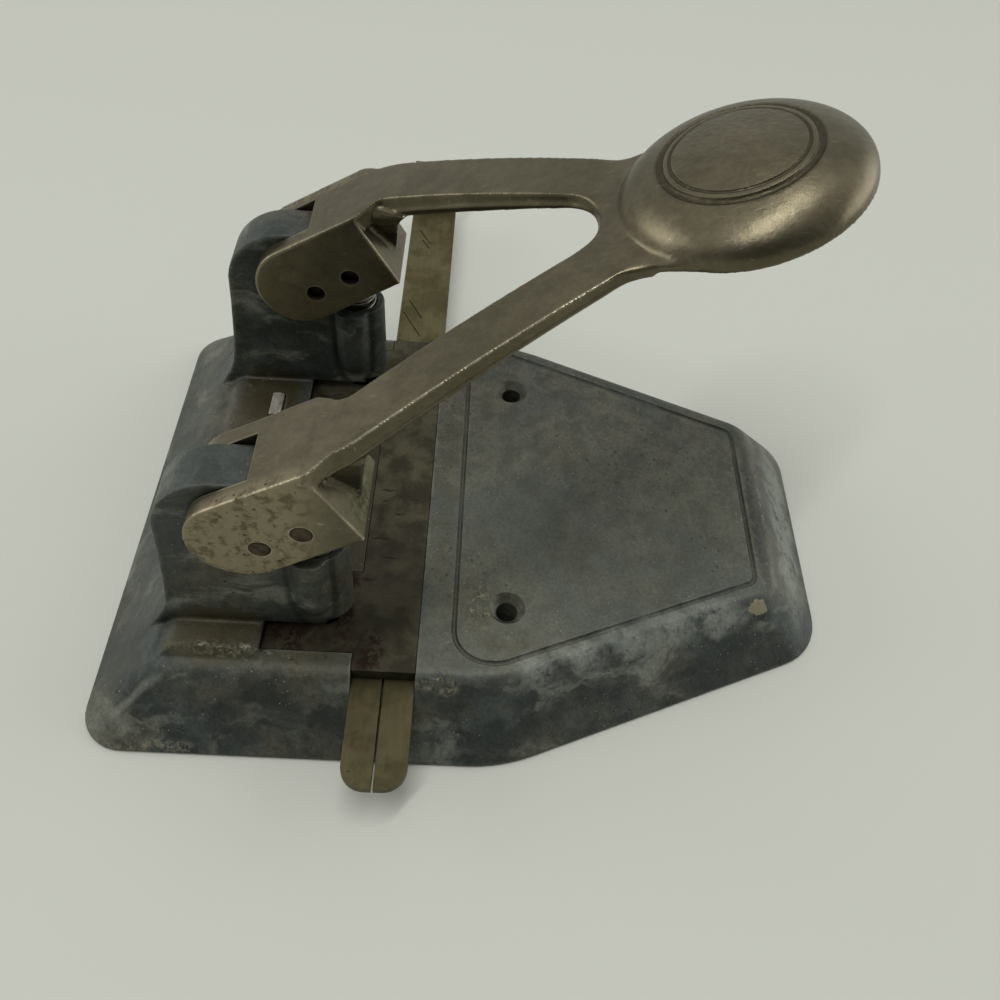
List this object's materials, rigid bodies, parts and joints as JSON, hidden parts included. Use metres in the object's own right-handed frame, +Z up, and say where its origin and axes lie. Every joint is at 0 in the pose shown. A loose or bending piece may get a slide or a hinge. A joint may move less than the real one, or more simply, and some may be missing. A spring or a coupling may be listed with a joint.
{
  "type": "two-hole paper punch",
  "caption": "Desk paper punch with a die-cast base, a forked palm handle driving paired sprung punches, and a sliding gauge bar under a die plate.",
  "frame": {"origin": "on the table, midway between the two punches", "axes": "+X from the left to the right punch as the operator faces it, -Y towards the operator, +Z up"},
  "size_m": [0.1937, 0.1555, 0.1076],
  "materials": {
    "zinc_casting": "oxidised blue-grey die-casting",
    "nickel_casting": "worn satin nickel plating",
    "plate_steel": "dull, brown stained",
    "bar_steel": "dull nickel plating",
    "ground_steel": "ground",
    "spring_steel": "drawn wire and strip",
    "dark_steel": "dark, oiled",
    "cover_steel": "plated sheet"
  },
  "bodies": {
    "base": {"base_casting": "zinc_casting", "die_plate": "plate_steel", "die_plate_screws": "dark_steel", "bottom_cover": "cover_steel", "cover_catch_left": "spring_steel", "cover_catch_right": "spring_steel", "catch_rivets": "dark_steel", "punch_spring_left": "spring_steel", "punch_spring_right": "spring_steel"},
    "handle": {"handle": "nickel_casting", "pivot_pin_left": "dark_steel", "pivot_pin_right": "dark_steel", "drive_pin_left": "dark_steel", "drive_pin_right": "dark_steel"},
    "left_punch": {"punch_left": "ground_steel", "spring_washer_left": "ground_steel", "punch_clip_left": "dark_steel"},
    "right_punch": {"punch_right": "ground_steel", "spring_washer_right": "ground_steel", "punch_clip_right": "dark_steel"},
    "gauge": {"gauge_bar": "bar_steel"}
  },
  "joints": [
    {"name": "handle_press", "type": "hinge", "parent": "base", "child": "handle", "pos_m": [0, 0.0077, 0.0472], "axis": [1, 0, 0], "range_deg": [0, 39.5], "stiffness_Nm_per_rad": 0.3, "springref_deg": -34.38},
    {"name": "left_punch_stroke", "type": "slide", "parent": "base", "child": "left_punch", "axis": [0, 0, -1], "range_m": [0, 0.006], "deforming": ["punch_spring_left"]},
    {"name": "right_punch_stroke", "type": "slide", "parent": "base", "child": "right_punch", "axis": [0, 0, -1], "range_m": [0, 0.006], "deforming": ["punch_spring_right"]},
    {"name": "gauge_slide", "type": "slide", "parent": "base", "child": "gauge", "axis": [1, 0, 0], "range_m": [-0.06, 0.02]}
  ],
  "couplings": [
    {"joint": "left_punch_stroke", "follows": "handle_press", "m_per_rad": 0.0087},
    {"joint": "right_punch_stroke", "follows": "handle_press", "m_per_rad": 0.0087}
  ]
}
